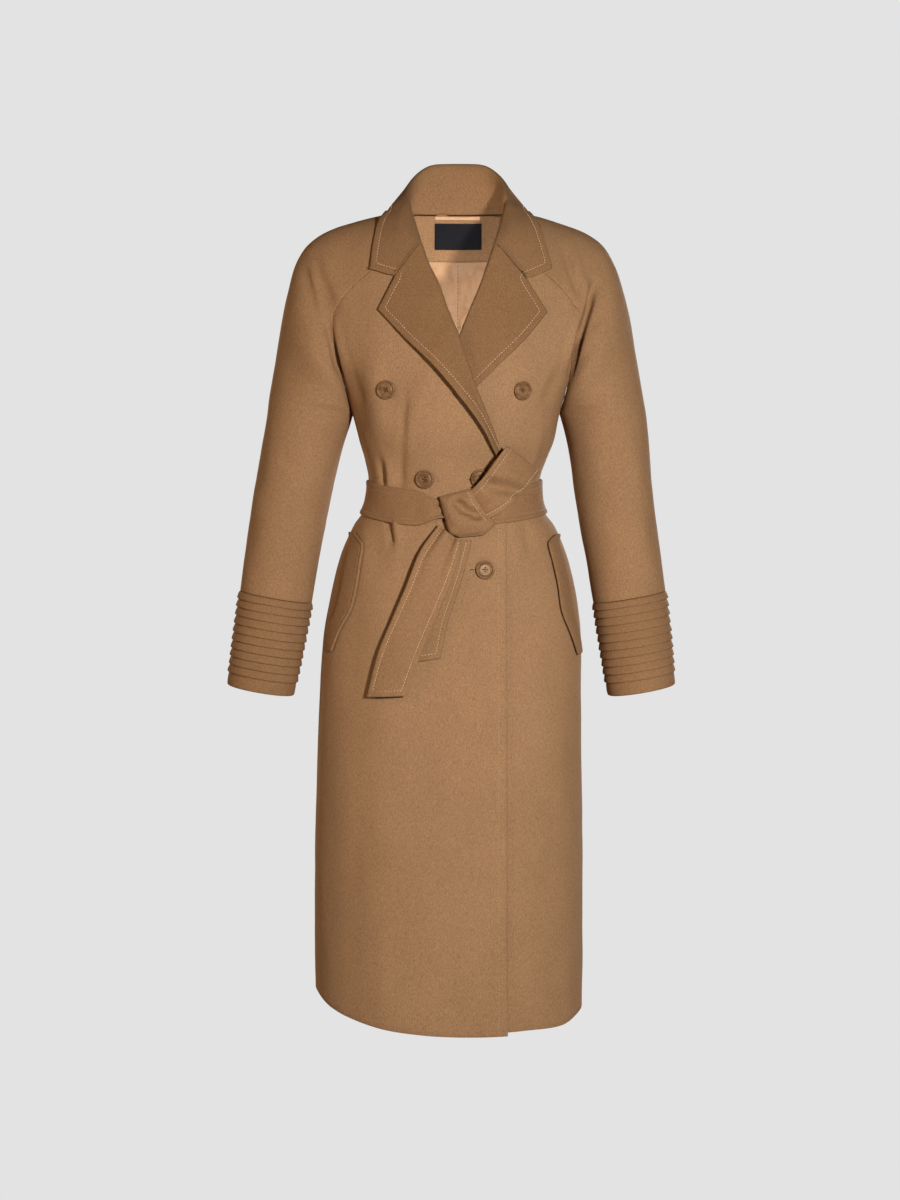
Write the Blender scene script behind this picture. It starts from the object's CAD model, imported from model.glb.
"""Looks of the long double-breasted coat: brushed wool with its creases, stitching and buttons.

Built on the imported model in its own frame. Tables and sizes are in millimetres, the scene is in
metres. The wearer faces -Y, their left is +X and up is +Z, and the origin is the middle of the
neck base. SIDES gives -1 for the wearer's right and +1 for their left.
"""
import math

import bmesh
import bpy
import numpy as np
from mathutils import Matrix, Vector, noise
from mathutils.bvhtree import BVHTree
from mathutils.kdtree import KDTree


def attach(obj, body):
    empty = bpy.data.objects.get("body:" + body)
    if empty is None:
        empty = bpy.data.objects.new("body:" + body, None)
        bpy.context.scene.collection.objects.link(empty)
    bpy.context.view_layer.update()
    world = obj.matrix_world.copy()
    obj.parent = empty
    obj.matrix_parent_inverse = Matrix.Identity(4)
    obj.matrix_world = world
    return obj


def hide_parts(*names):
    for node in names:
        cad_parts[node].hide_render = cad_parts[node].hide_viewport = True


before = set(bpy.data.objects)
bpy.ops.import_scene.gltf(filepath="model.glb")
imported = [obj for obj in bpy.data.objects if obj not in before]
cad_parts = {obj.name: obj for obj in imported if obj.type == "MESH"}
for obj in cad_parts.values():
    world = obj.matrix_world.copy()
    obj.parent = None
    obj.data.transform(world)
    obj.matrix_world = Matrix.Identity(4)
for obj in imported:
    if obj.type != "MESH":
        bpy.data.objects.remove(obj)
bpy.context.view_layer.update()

MM = 0.001
SIDES = {"right": -1, "left": 1}

# Cloth walls and the gaps between them
CLOTH = 2.5
BELT_CLOTH = 3.0
FACING_CLOTH = 1.5
LABEL_CLOTH = 1.0
CREASE = 0.1
GORGE_GAP = 0.9
SEAM_GAP = 0.4
LAYER_GAP = 1.5
INSIDE_GAP = 0.5
RIM = 0.8

# Body: each ring is a rounded oval, as full as FULLNESS says (2 is an ellipse)
FULLNESS = 2.4
UNDERARM = -272
HEM = -1098
HEM_START = -950
UNDER_HEM_RISE = 4
BREAK = {"right": -345, "left": -305}

# height: half width, depth of the front, depth of the back
TORSO_ROWS = (
    (30, 96, 58, 64),
    (0, 104, 66, 71),
    (-20, 124, 74, 79),
    (-40, 145, 82, 86),
    (-60, 162, 89, 92),
    (-88, 180, 97, 100),
    (-110, 190, 103, 105),
    (-142, 191, 112, 110),
    (-180, 184, 121, 112),
    (-214, 166, 125, 110),
    (-250, 149, 126, 106),
    (-272, 142, 123, 102),
    (-308, 133.5, 115, 94),
    (-335, 123.5, 107, 86),
    (-364, 116.5, 99, 79),
    (-390, 119, 98, 78),
    (-410, 126.5, 100, 81),
    (-422, 136, 103, 86),
    (-445, 147.5, 109, 95),
    (-473, 157.5, 114, 105),
    (-528, 170, 122, 120),
    (-584, 178, 128, 129),
    (-667, 181, 134, 136),
    (-807, 184.5, 141, 142),
    (-950, 186, 147, 147),
    (-1120, 185.5, 152, 152),
)

# height: sideways lean of the body, and of the arms where they hang free of it
LEAN_ROWS = ((60, 3), (-60, 3), (-117, 4), (-250, 4), (-272, 4.5), (-308, 5.8), (-363, 3.2),
             (-418, 1), (-528, 0.5), (-582, -1), (-665, -4), (-720, -5.5), (-1120, -6))
ARM_LEAN_ROWS = ((60, 3), (-117, 4), (-250, 4), (-272, 4.5), (-330, 2.5), (-400, 0), (-520, -0.5),
                 (-578, -1.2), (-650, -2.8))

# x: height of the hem
HEM_ROWS = (
    (-200, -1060), (-184, -1066), (-166, -1075.5), (-146, -1082), (-112, -1089), (-72, -1094.5),
    (0, -1099.5), (72, -1100.5), (118, -1100), (145, -1099), (169, -1093), (200, -1086),
)

# height: x of the folded edge, above BREAK, and of the front edge, below it
RIGHT_EDGE_ROWS = (
    (0, -54), (-42, -42.5), (-75, -32), (-106, -17.5), (-142, -5), (-172, 7.7), (-208, 19.5),
    (-242, 31.3), (-290, 51), (-323, 63), (-350, 71), (-1120, 72.5),
)
LEFT_EDGE_ROWS = (
    (0, 66.5), (-42, 56), (-75, 45.5), (-106, 34.8), (-130, 24.8), (-172, 7.7), (-208, -8),
    (-242, -22), (-290, -41), (-323, -54), (-350, -66), (-1120, -68),
)

# height: radius of the lapel's roll, measured at the middle of the wall
RIGHT_ROLL_ROWS = ((0, 4.5), (-60, 4.5), (-172, 3.5), (-300, 2.5), (-360, 2.2))
LEFT_ROLL_ROWS = ((0, 4.5), (-60, 4.2), (-120, 3.0), (-160, 2.0), (-360, 2.0))

# station down the shoulder: ridge x, y, height; front seam x, height; back seam x, height; fold
SHOULDER_ROWS = (
    (0, 74, 6, 4, 74, -38, 56, 6, 0.00),
    (1, 106, 5, -3, 92, -60, 78, -28, 0.00),
    (2, 146, 4, -14, 112, -83, 100, -62, 0.00),
    (3, 178, 4, -26, 134, -101, 121, -96, 0.05),
    (4, 203, 4, -44, 152, -121, 139, -130, 0.12),
    (5, 219.5, 5, -72, 165, -145, 155, -165, 0.25),
    (6, 230, 6, -108, 162, -180, 158, -200, 0.42),
    (7, 240, 6, -152, 155, -214, 154, -232, 0.60),
    (8, 249.5, 3, -206, 148, -247, 147, -257, 0.80),
    (9, 257, 0, -252, 142, UNDERARM, 142, UNDERARM, 1.00),
)
STATIONS = 9
ROUND_HANDLE = 0.55
ARM_BULGE = 82

# step down the arm: outer x, height; inner x, height; middle y; half depth
ARM_ROWS = (
    (0, 257, -252, 142, UNDERARM, 0, 62),
    (1, 264, -302, 155.5, -321, 0, 59),
    (2, 271, -354, 165.5, -373, -2, 57),
    (3, 278, -408, 175.5, -427, -5, 55),
    (4, 285, -461, 185.5, -479, -11, 53),
    (5, 291.5, -514, 194, -531, -17, 50.5),
    (6, 299, -578, 205, -594, -24, 48.5),
    (7, 305.5, -641, 216.5, -657, -30, 47.5),
)
CUFF_STEP = 5
ARM_END = 7
TUCKS = 10
TUCK_SHARE = 0.86

# Lapels: x and height of the notch, and share of the way down: x and height of the free edge
GORGE_TOP = -51
NECKLINE_DROP = 13
NOTCH = {"right": (-77.5, -93.5), "left": (98, -97)}
RIGHT_LAPEL_ROWS = (
    (0, -100.2, -138), (0.17, -61.8, -179), (0.33, -27.7, -211.6), (0.47, -1.5, -241.6),
    (0.62, 22.2, -270.4), (0.78, 41.9, -299.2), (0.9, 54, -324), (1, 63.5, -342),
)
LEFT_LAPEL_ROWS = (
    (0, 125.5, -141), (0.2, 95.7, -177.4), (0.42, 61.6, -210.7), (0.6, 33.5, -238.8),
    (0.79, 4, -268), (0.92, -18, -287), (1, -41, -303.5),
)
NOTCH_SHARE = 0.54
ACROSS = sorted({*np.linspace(0, NOTCH_SHARE, 14), *np.linspace(NOTCH_SHARE, 0.8, 9),
                 *np.linspace(0.8, 1, 19)})
DOWNS = sorted({*np.linspace(0, 0.05, 14), *np.linspace(0.05, 1, 60)})
ROLL_TURNS = 13
LAPEL_GAP = 2.4
LAPEL_EDGE_LIFT = {"right": 10.0, "left": 1.5}
ROLL_START = 1.0

# Collar, stations from the back to the front: top of the fold and free edge as x, y, height
COLLAR_SHIFT = 6.5
COLLAR_ROWS = (
    (0, 0, 80, 80, 0, 99, -6),
    (1, 33, 76, 79, 46, 95, -8),
    (2, 56.5, 57, 62, 80, 74, -10),
    (3, 65, 26, 42, 94.5, 32, -2),
    (4, 66, -8, 23, 95, -14, -2),
    (5, 64, -32, 7, 103, -38, -24),
)
COLLAR_TURN = 5
COLLAR_END = 7
COLLAR_ROLL = 4.5
COLLAR_TIP = {"right": (-110.5, -82.5), "left": (132, -81)}
COLLAR_STATIONS = sorted({*np.linspace(0, 6.6, 56), *np.linspace(6.6, 7, 15)})
STAND_STEPS = 8
LEAF_GAP = 2.8

# Belt: turn round the waist, from the front towards the wearer's right: middle height
BELT_ROWS = ((0, -403), (20, -400), (45, -394), (75, -388), (90, -386), (180, -379), (270, -385),
             (300, -390), (335, -397), (360, -403))
BELT_WIDTH = 47
BELT_STEPS = 260
BELT_SHARES = sorted({*np.linspace(0.5, 0.2, 12), *np.linspace(0.2, -0.2, 7),
                      *np.linspace(-0.2, -0.5, 12)},
                     reverse=True)
BELT_END_TURN = 1
BELT_OVER_EDGE = 1.4
BELT_FRONT_X = 20

# Folds: middle x, top height, bottom height, half width, depth (a ridge is less than 0), back
FOLD_ROWS = (
    (-70, -290, -420, 26, 4.0, False),
    (88, -300, -420, 24, 2.6, False),
    (-98, -350, -520, 24, 3.4, False),
    (104, -352, -500, 24, 2.6, False),
    (-52, -300, -440, 26, 4.0, True),
    (46, -310, -470, 28, 3.6, True),
    (0, -330, -640, 30, 3.0, True),
    (-110, -620, -1200, 40, 3.4, True),
    (95, -660, -1200, 44, 3.8, True),
)
STATION_STEP = 0.125
ARM_STEP = 0.1
LOWER_HEIGHTS = (*range(-278, -520, -6), *range(-524, HEM, -12), HEM)
FRONT_SHARES = sorted({*np.linspace(0, 0.1, 13), *np.linspace(0.1, 1, 62)})
BACK_COLUMNS = 76
SLEEVE_COLUMNS = 88

# Creases of the worn cloth: path of (x, height), half width, depth (a ridge is less than 0),
# ridge beside it as a share of the depth (on the left of the path if less than 0), on the back
CREASES = (
    (((-193, -70), (-184, -106), (-174, -142)), 8, -2.4, -0.6, False),
    (((-170, -146), (-163, -176), (-157, -200), (-152, -224)), 8, 5.0, 0.5, False),
    (((190, -96), (184, -124), (168, -174), (161, -200), (157, -220)), 7, 15.0, -0.25, False),
    (((150, -50), (156, -76), (164, -100), (172, -122)), 9, 3.4, 0.6, False),
    (((-186, -66), (-180, -84), (-168, -112), (-158, -134)), 10, 1.6, 0.6, False),
    (((-120, -262), (-128, -238), (-140, -214)), 12, 1.2, 0.4, False),
    (((-112, -200), (-106, -238), (-100, -276), (-96, -312)), 24, -4.0, 0.3, False),
    (((120, -264), (130, -240), (142, -216)), 12, 2.6, -0.4, False),
    (((-97, -334), (-95, -349), (-94, -366), (-93, -392)), 7, 6.0, 0.5, False),
    (((-62, -250), (-66, -280), (-68, -312), (-70, -345), (-70, -384)), 8, 3.2, 0.25, False),
    (((-87, -398), (-86, -420), (-83, -436), (-81, -452)), 7, 6.5, 0.5, False),
    (((86, -336), (84, -356), (82, -380)), 9, 1.8, -0.5, False),
    (((96, -412), (99, -436), (104, -466)), 10, 1.8, 0.4, False),
    (((-132, -300), (-124, -330), (-112, -360)), 10, 1.6, 0.4, False),
    (((128, -300), (122, -330), (112, -362)), 10, 1.6, -0.4, False),
    (((-236, -330), (-216, -342), (-196, -348)), 12, 1.6, 0.5, False),
    (((-252, -392), (-228, -410), (-204, -418)), 14, 1.8, 0.5, False),
    (((236, -326), (214, -340), (196, -346)), 12, 1.7, -0.5, False),
    (((252, -396), (226, -414), (204, -420)), 14, 1.8, -0.5, False),
    (((-262, -300), (-268, -350), (-272, -410), (-280, -470)), 18, 1.4, 0.4, False),
    (((262, -300), (268, -352), (274, -412), (282, -470)), 18, 1.4, -0.4, False),
    (((-176, -120), (-164, -180), (-154, -240)), 15, 3.0, 0.4, True),
    (((176, -118), (165, -180), (155, -240)), 15, 3.0, -0.4, True),
    (((-60, -230), (-56, -290), (-52, -350), (-50, -384)), 14, 2.4, 0.4, True),
    (((58, -240), (54, -300), (50, -350), (48, -384)), 14, 2.4, -0.4, True),
    (((-92, -330), (-88, -356), (-84, -380)), 9, 2.2, 0.5, True),
    (((92, -332), (88, -358), (84, -382)), 9, 2.2, -0.5, True),
    (((-44, -400), (-48, -450), (-56, -520)), 12, 2.2, 0.4, True),
    (((44, -400), (50, -452), (60, -524)), 12, 2.2, -0.4, True),
    (((-240, -340), (-222, -356), (-200, -362)), 14, 1.8, 0.5, True),
    (((242, -344), (222, -358), (200, -364)), 14, 1.8, -0.5, True),
)
# Fold of the cloth along the seam of front and sleeve: height, depth
ARMHOLE_ROWS = {
    "right": ((-100, 0), (-130, 0.5), (-170, 1.5), (-215, 2.5), (-240, 0), (-290, 0)),
    "left": ((-84, 0), (-112, 0.5), (-150, 1), (-205, 2.5), (-226, 0), (-290, 0)),
}
ARMHOLE_HALF = 9
# Valley that the pressed front edge leaves: half width, depth
EDGE_VALLEY = (5, 1.9)
BELT_LINE = -391
# Unevenness of the cloth: size of its waves and their height
WAVES = ((70, 1.5), (26, 0.55), (9, 0.16))

# Stitching: length of a stitch, gap to the next one and half thickness
STITCH, STITCH_GAP, THREAD = 2.6, 1.5, 0.42
GROOVE = 0.5


# ---------------------------------------------------------------- curves

class Track:
    """A smooth curve through a table whose first column is the key, with no overshoot."""

    def __init__(self, rows):
        table = np.array(sorted(rows), dtype=float)
        self.keys, self.values = table[:, 0], table[:, 1:]
        steps = np.diff(self.keys)[:, None]
        rates = np.diff(self.values, axis=0) / steps
        self.slopes = np.vstack([rates[:1], np.zeros_like(rates[1:]), rates[-1:]])
        for i in range(1, len(self.keys) - 1):
            before, after = rates[i - 1], rates[i]
            both = before + after
            turning = (before * after) <= 0
            safe = np.where(turning, 1.0, both)
            self.slopes[i] = np.where(turning, 0.0, 2 * before * after / safe)

    def __call__(self, key):
        key = min(max(key, self.keys[0]), self.keys[-1])
        i = int(min(max(np.searchsorted(self.keys, key) - 1, 0), len(self.keys) - 2))
        span = self.keys[i + 1] - self.keys[i]
        t = (key - self.keys[i]) / span
        return (self.values[i] * (1 + 2 * t) * (1 - t) ** 2
                + self.slopes[i] * span * t * (1 - t) ** 2
                + self.values[i + 1] * t * t * (3 - 2 * t)
                - self.slopes[i + 1] * span * t * t * (1 - t))


TORSO = Track(TORSO_ROWS)
LEAN = Track(LEAN_ROWS)
ARM_LEAN = Track(ARM_LEAN_ROWS)
HEM_LINE = Track(HEM_ROWS)
EDGE = {"right": Track(RIGHT_EDGE_ROWS), "left": Track(LEFT_EDGE_ROWS)}
ROLL = {"right": Track(RIGHT_ROLL_ROWS), "left": Track(LEFT_ROLL_ROWS)}
SHOULDER = Track(SHOULDER_ROWS)
ARM = Track(ARM_ROWS)
LAPEL = {"right": Track(RIGHT_LAPEL_ROWS), "left": Track(LEFT_LAPEL_ROWS)}
COLLAR = Track(COLLAR_ROWS)
BELT = Track(BELT_ROWS)


def soft(low, high, value):
    """0 below low, 1 above high and a smooth rise between them."""
    t = min(max((value - low) / (high - low), 0.0), 1.0)
    return t * t * (3 - 2 * t)


def bezier(a, b, c, d, t):
    return a * (1 - t) ** 3 + 3 * b * t * (1 - t) ** 2 + 3 * c * t * t * (1 - t) + d * t ** 3


def unit(vector):
    return vector / np.linalg.norm(vector)


# ---------------------------------------------------------------- body surface

def lean(height):
    return LEAN(height)[0]


def own(side, x, height):
    """Distance of a place from the coat's middle, towards the named side."""
    return SIDES[side] * (x - lean(height))


def ring_angle(across, height):
    """Angle on the body's ring, 0 at the side seam and a half turn at the other one."""
    ratio = min(max(across / TORSO(height)[0], -1.0), 1.0)
    return math.acos(math.copysign(abs(ratio) ** (FULLNESS / 2), ratio))


def ring_point(angle, height, back=False):
    half, front, rear = TORSO(height)
    cos, sin = math.cos(angle), max(math.sin(angle), 0.0)
    depth = rear if back else -front
    x = half * math.copysign(abs(cos) ** (2 / FULLNESS), cos)
    return np.array([x, depth * sin ** (2 / FULLNESS), height])


def ring_normal(point, back=False):
    half, front, rear = TORSO(point[2])
    power = FULLNESS - 1
    x = math.copysign(abs(point[0] / half) ** power / half, point[0])
    depth = rear if back else front
    y = math.copysign(abs(point[1] / depth) ** power / depth, 1 if back else -1)
    return unit(np.array([x, y, 0.0]))


def body_depth(across, height, back=False):
    """y of the plain body surface at a distance from the middle."""
    return ring_point(ring_angle(across, height), height, back)[1]


def layer_lift(side, x, height):
    """How far a front is moved out by the front and the lapel that lie under it."""
    if side == "left":
        return 0.0
    over_front = soft(-135, -88, x) * soft(-60, -130, height)
    under_roll = EDGE["left"](height)[0]
    over_lapel = soft(-40, -12, x - under_roll) * soft(-95, -165, height) * soft(-350, -303, height)
    return (CLOTH + LAYER_GAP) * over_front + (CLOTH + 1.6) * over_lapel


def fold_depth(x, height, back):
    total = 0.0
    for middle, top, bottom, half, depth, on_back in FOLD_ROWS:
        if on_back != back:
            continue
        across = max(1 - ((x - middle) / half) ** 2, 0.0) ** 2
        along = soft(bottom, bottom + 60, height) * soft(top, top - 50, height)
        total += depth * across * along
    half = TORSO(height)[0]
    return total * soft(half, 0.86 * half, abs(x - lean(height)))


def body_point(side, angle, height, back=False):
    """Outer face of the body at an angle of its ring, in the coat's frame."""
    point = ring_point(angle, height, back)
    x = SIDES[side] * point[0] + lean(height)
    out = -fold_depth(x, height, back)
    if not back:
        out += layer_lift(side, x, height)
    point = point + ring_normal(point, back) * out
    x = SIDES[side] * point[0] + lean(height)
    if height < HEM_START:
        hem = HEM_LINE(x)[0]
        if side == "left" and not back:
            hem += UNDER_HEM_RISE * soft(60, -60, x) + UNDER_HEM_RISE * soft(160, 90, x)
        point[2] = HEM_START + (height - HEM_START) * (hem - HEM_START) / (HEM - HEM_START)
    return np.array([x, point[1], point[2]])


def plain_depth(side, x, height):
    """y of a front's outer face as its rings give it."""
    return body_point(side, ring_angle(own(side, x, height), height), height)[1]


def front_limit(side, height):
    """x of a front's inner edge, which stops short of the lapel's roll."""
    low = BREAK[side]
    inset = (ROLL[side](height)[0] + CLOTH / 2 + ROLL_START + 1) * soft(low - 15, low - 3, height)
    return EDGE[side](height)[0] + SIDES[side] * inset

# ---------------------------------------------------------------- sheets and walls

class Sheet:
    """A grid of points, joined by faces, that becomes a wall of cloth."""

    def __init__(self, rows, closed_from=None, flip=False):
        self.points, self.faces, index = [], [], []
        self.width = len(rows[0])
        for i, row in enumerate(rows):
            numbers = []
            for j, point in enumerate(row):
                closes = closed_from is not None and i >= closed_from and j == len(row) - 1
                if closes:
                    numbers.append(numbers[0])
                    continue
                numbers.append(len(self.points))
                self.points.append(Vector(point))
            index.append(numbers)
        for upper, lower in zip(index, index[1:]):
            for j in range(len(upper) - 1):
                face = (upper[j], lower[j], lower[j + 1], upper[j + 1])
                face = tuple(dict.fromkeys(face))
                self.faces.append(tuple(reversed(face)) if flip else face)
        self.normals = self.vertex_normals()

    def face_normal(self, face):
        normal = Vector()
        corners = [self.points[v] for v in face]
        for a, b in zip(corners, corners[1:] + corners[:1]):
            normal += a.cross(b)
        return normal

    def vertex_normals(self):
        normals = [Vector() for _ in self.points]
        for face in self.faces:
            normal = self.face_normal(face)
            for v in face:
                normals[v] += normal
        return [n.normalized() for n in normals]

    def border(self):
        """Edges that only one face uses, each with that face."""
        owner = {}
        for face in self.faces:
            for a, b in zip(face, face[1:] + face[:1]):
                owner[(a, b)] = face
        return {edge: face for edge, face in owner.items() if edge[::-1] not in owner}

    def inward(self):
        """Way from each border point into the sheet, longer at its corners."""
        steps = {}
        for (a, b), face in self.border().items():
            along = self.points[b] - self.points[a]
            step = self.face_normal(face).cross(along).normalized()
            steps.setdefault(a, []).append(step)
            steps.setdefault(b, []).append(step)
        ways = {}
        for v, found in steps.items():
            middle = sum(found, Vector()).normalized()
            ways[v] = middle / max(middle.dot(found[0]), 0.25)
        return ways

    def part_seams(self, gap=SEAM_GAP / 2):
        """Draw the border in, so that the piece stays clear of its neighbours."""
        for v, way in self.inward().items():
            self.points[v] = self.points[v] + way * gap

    def wall(self, out, into, rim=RIM):
        """Closed wall with rounded edges, which reaches out and into the body at each point."""
        outs = list(out) if hasattr(out, "__len__") else [out] * len(self.points)
        ways = self.inward()
        count = len(self.points)
        drawn = [p + ways[v] * rim if v in ways else p for v, p in enumerate(self.points)]
        vertices = [p + n * o for p, n, o in zip(drawn, self.normals, outs)]
        vertices += [p - n * into for p, n in zip(drawn, self.normals)]
        faces = list(self.faces)
        faces += [tuple(count + v for v in reversed(face)) for face in self.faces]
        loops = {v: [v] for v in ways}
        for v, way in ways.items():
            for inset, share in ((0.3, 0.14), (0.0, 0.5), (0.3, 0.86)):
                over = outs[v] - (outs[v] + into) * share
                loops[v].append(len(vertices))
                vertices.append(self.points[v] + way * (rim * inset) + self.normals[v] * over)
            loops[v].append(count + v)
        for a, b in self.border():
            for k in range(4):
                faces.append((loops[b][k], loops[a][k], loops[a][k + 1], loops[b][k + 1]))
        return vertices, faces


def share_normals(sheets, limit=CREASE):
    """Give points that meet on a seam one normal, so that the walls meet squarely.

    At a deep crease the walls stand apart, and each keeps its own.
    """
    entries = [(sheet, v) for sheet in sheets for v in {v for edge in sheet.border() for v in edge}]
    tree = KDTree(len(entries))
    for i, (sheet, v) in enumerate(entries):
        tree.insert(sheet.points[v], i)
    tree.balance()
    shared = []
    for sheet, v in entries:
        near = tree.find_range(sheet.points[v], 0.05)
        normals = [entries[i][0].normals[entries[i][1]] for _, i, _ in near]
        own_normal = sheet.normals[v]
        total = sum((n for n in normals if n.dot(own_normal) > limit), Vector())
        shared.append(total.normalized())
    for (sheet, v), normal in zip(entries, shared):
        sheet.normals[v] = normal


class Surface:
    """Points and faces that other pieces are laid on."""

    def __init__(self, points, faces):
        self.tree = BVHTree.FromPolygons(points, faces)

    @classmethod
    def of(cls, *sheets):
        """The outer faces of some sheets."""
        points, faces = [], []
        for sheet in sheets:
            base = len(points)
            points += sheet.points
            faces += [tuple(base + v for v in face) for face in sheet.faces]
        return cls(points, faces)

    def depth(self, x, height):
        """y of the cloth that is met first from the front, or of the nearest border."""
        place = self.tree.ray_cast(Vector((x, -500, height)), Vector((0, 1, 0)))[0]
        if place is None:
            place = self.tree.find_nearest(Vector((x, -110, height)))[0]
        return place.y

    def clear(self, point, gap):
        """The point, moved out where it is closer to the cloth than the gap."""
        place, normal, _, _ = self.tree.find_nearest(Vector(point))
        away = (Vector(point) - place).dot(normal)
        return np.array(point) if away >= gap else np.array(place + normal * gap)

    def inside(self, point, gap):
        """The point, moved in where it is closer to the cloth's outer face than the gap."""
        place, normal, _, _ = self.tree.find_nearest(Vector(point))
        away = (place - Vector(point)).dot(normal)
        return np.array(point) if away >= gap else np.array(place - normal * gap)


# ---------------------------------------------------------------- creases

def path_places(points, path):
    """For each point: distance from a path, the side of it and the share of the way along."""
    flat = points[:, (0, 2)]
    best = np.full(len(flat), 1e9)
    side = np.zeros(len(flat))
    share = np.zeros(len(flat))
    corners = np.array(path, dtype=float)
    lengths = np.linalg.norm(np.diff(corners, axis=0), axis=1)
    gone = np.concatenate([[0.0], np.cumsum(lengths)])
    for i, (a, b) in enumerate(zip(corners, corners[1:])):
        way = (b - a) / lengths[i]
        along = np.clip((flat - a) @ way, 0, lengths[i])
        off = flat - (a + along[:, None] * way)
        distance = np.linalg.norm(off, axis=1)
        nearer = distance < best
        best = np.where(nearer, distance, best)
        side = np.where(nearer, np.sign(way[0] * off[:, 1] - way[1] * off[:, 0]), side)
        share = np.where(nearer, (gone[i] + along) / gone[-1], share)
    return best, side, share


def hump(distance, half):
    return np.clip(1 - (distance / half) ** 2, 0, 1) ** 2


def crease_depths(points, normals):
    """How far the creases and the cloth's unevenness draw each point in."""
    total = np.zeros(len(points))
    for path, half, depth, beside, back in CREASES:
        distance, side, share = path_places(points, path)
        facing = np.clip((normals[:, 1] if back else -normals[:, 1]) * 3 - 0.2, 0, 1)
        ends = np.clip(np.minimum(share, 1 - share) * 4 + 0.12, 0, 1)
        signed = distance * side * math.copysign(1, beside)
        profile = hump(distance, half) - abs(beside) * hump(signed - 1.15 * half, 1.3 * half)
        total += depth * profile * facing * ends
    for size, height in WAVES:
        total += height * np.array([noise.noise(Vector((p[0], p[1], p[2] * 0.55)) / size)
                                    for p in points])
    return total


def armhole_depths(front, sleeve, sheet, side):
    """How far the fold along the armhole draws each point of a sheet in."""
    on_sleeve = {tuple(round(c, 2) for c in sleeve.points[v])
                 for edge in sleeve.border() for v in edge}
    on_front = [front.points[a] for a, _ in front.border()]
    seam = [p for p in on_front if tuple(round(c, 2) for c in p) in on_sleeve and p.z < -60]
    tree = KDTree(len(seam))
    for i, place in enumerate(seam):
        tree.insert(place, i)
    tree.balance()
    rows = ARMHOLE_ROWS[side][::-1]
    heights, depths = [z for z, _ in rows], [depth for _, depth in rows]
    found = [tree.find(point) for point in sheet.points]
    return np.array([np.interp(place.z, heights, depths) * hump(distance, ARMHOLE_HALF)
                     for place, _, distance in found])


def crease(cloth, fronts, sleeves):
    """Press the creases into sheets, the same way on both sides of each seam."""
    share_normals(cloth, -2)
    folds = {id(sheet): np.zeros(len(sheet.points)) for sheet in cloth}
    for side in SIDES:
        for sheet in (fronts[side], sleeves[side]):
            folds[id(sheet)] += armhole_depths(fronts[side], sleeves[side], sheet, side)
    for sheet in cloth:
        points, normals = np.array(sheet.points), np.array(sheet.normals)
        depths = crease_depths(points, normals) + folds[id(sheet)]
        pressed = [(EDGE["right"](z)[0] + 2.0, z) for z in range(-420, HEM, -40)]
        away, _, _ = path_places(points, pressed)
        depths += EDGE_VALLEY[1] * hump(away, EDGE_VALLEY[0]) * (normals[:, 1] < 0)
        depths *= np.clip((np.abs(points[:, 2] - BELT_LINE) - 18) / 6, 0, 1)
        moved = points - normals * depths[:, None]
        sheet.points = [Vector(p) for p in moved]
        sheet.normals = sheet.vertex_normals()
    share_normals(cloth)


# ---------------------------------------------------------------- stitching

def edge_distance(sheet, chosen):
    """Distance of each point of a sheet from those of its border edges that are chosen."""
    places = []
    for a, b in sheet.border():
        if chosen(divmod(a, sheet.width)) and chosen(divmod(b, sheet.width)):
            start, end = sheet.points[a], sheet.points[b]
            steps = max(int((end - start).length / 0.7), 1)
            places += [start.lerp(end, i / steps) for i in range(steps + 1)]
    tree = KDTree(len(places))
    for i, place in enumerate(places):
        tree.insert(place, i)
    tree.balance()
    return [tree.find(point)[2] for point in sheet.points]


def turned_edge(distance, inset, puff=0.45):
    """Thickness that a stitched edge adds: full between edge and stitches, drawn in on them."""
    groove = GROOVE * math.exp(-((distance - inset) / 1.0) ** 2)
    full = puff * math.sin(math.pi * min(distance / inset, 1)) if distance < inset else 0.0
    beyond = 0.5 * puff * math.exp(-(distance - inset) / 7) if distance > inset else 0.0
    return full + beyond - groove


def contour(sheet, distance, level):
    """Lines on a sheet, as points and normals, where the distance has one value."""
    places, joined = {}, {}
    for face in sheet.faces:
        found = []
        for a, b in zip(face, face[1:] + face[:1]):
            low, high = distance[a] - level, distance[b] - level
            if (low < 0) != (high < 0):
                share = low / (low - high)
                key = (min(a, b), max(a, b))
                places[key] = (sheet.points[a].lerp(sheet.points[b], share),
                               sheet.normals[a].lerp(sheet.normals[b], share).normalized())
                found.append(key)
        if len(found) == 2:
            joined.setdefault(found[0], []).append(found[1])
            joined.setdefault(found[1], []).append(found[0])
    lines, used = [], set()
    for start in sorted(joined, key=lambda key: (len(joined[key]), key)):
        if start in used:
            continue
        line, here = [], start
        while here is not None:
            used.add(here)
            line.append(places[here])
            here = next((key for key in joined[here] if key not in used), None)
        lines.append(line)
    return lines


def stitch_places(line, length=STITCH, gap=STITCH_GAP):
    """Start, end and normal of each stitch along a line."""
    points = np.array([place for place, _ in line])
    normals = np.array([normal for _, normal in line])
    steps = np.linalg.norm(np.diff(points, axis=0), axis=1)
    along = np.concatenate([[0.0], np.cumsum(steps)])
    places = []
    for start in np.arange(0.6, along[-1] - length, length + gap):
        ends = [np.array([np.interp(s, along, points[:, i]) for i in range(3)])
                for s in (start, start + length)]
        normal = np.array([np.interp(start + length / 2, along, normals[:, i]) for i in range(3)])
        places.append((ends[0], ends[1], unit(normal)))
    return places


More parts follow.
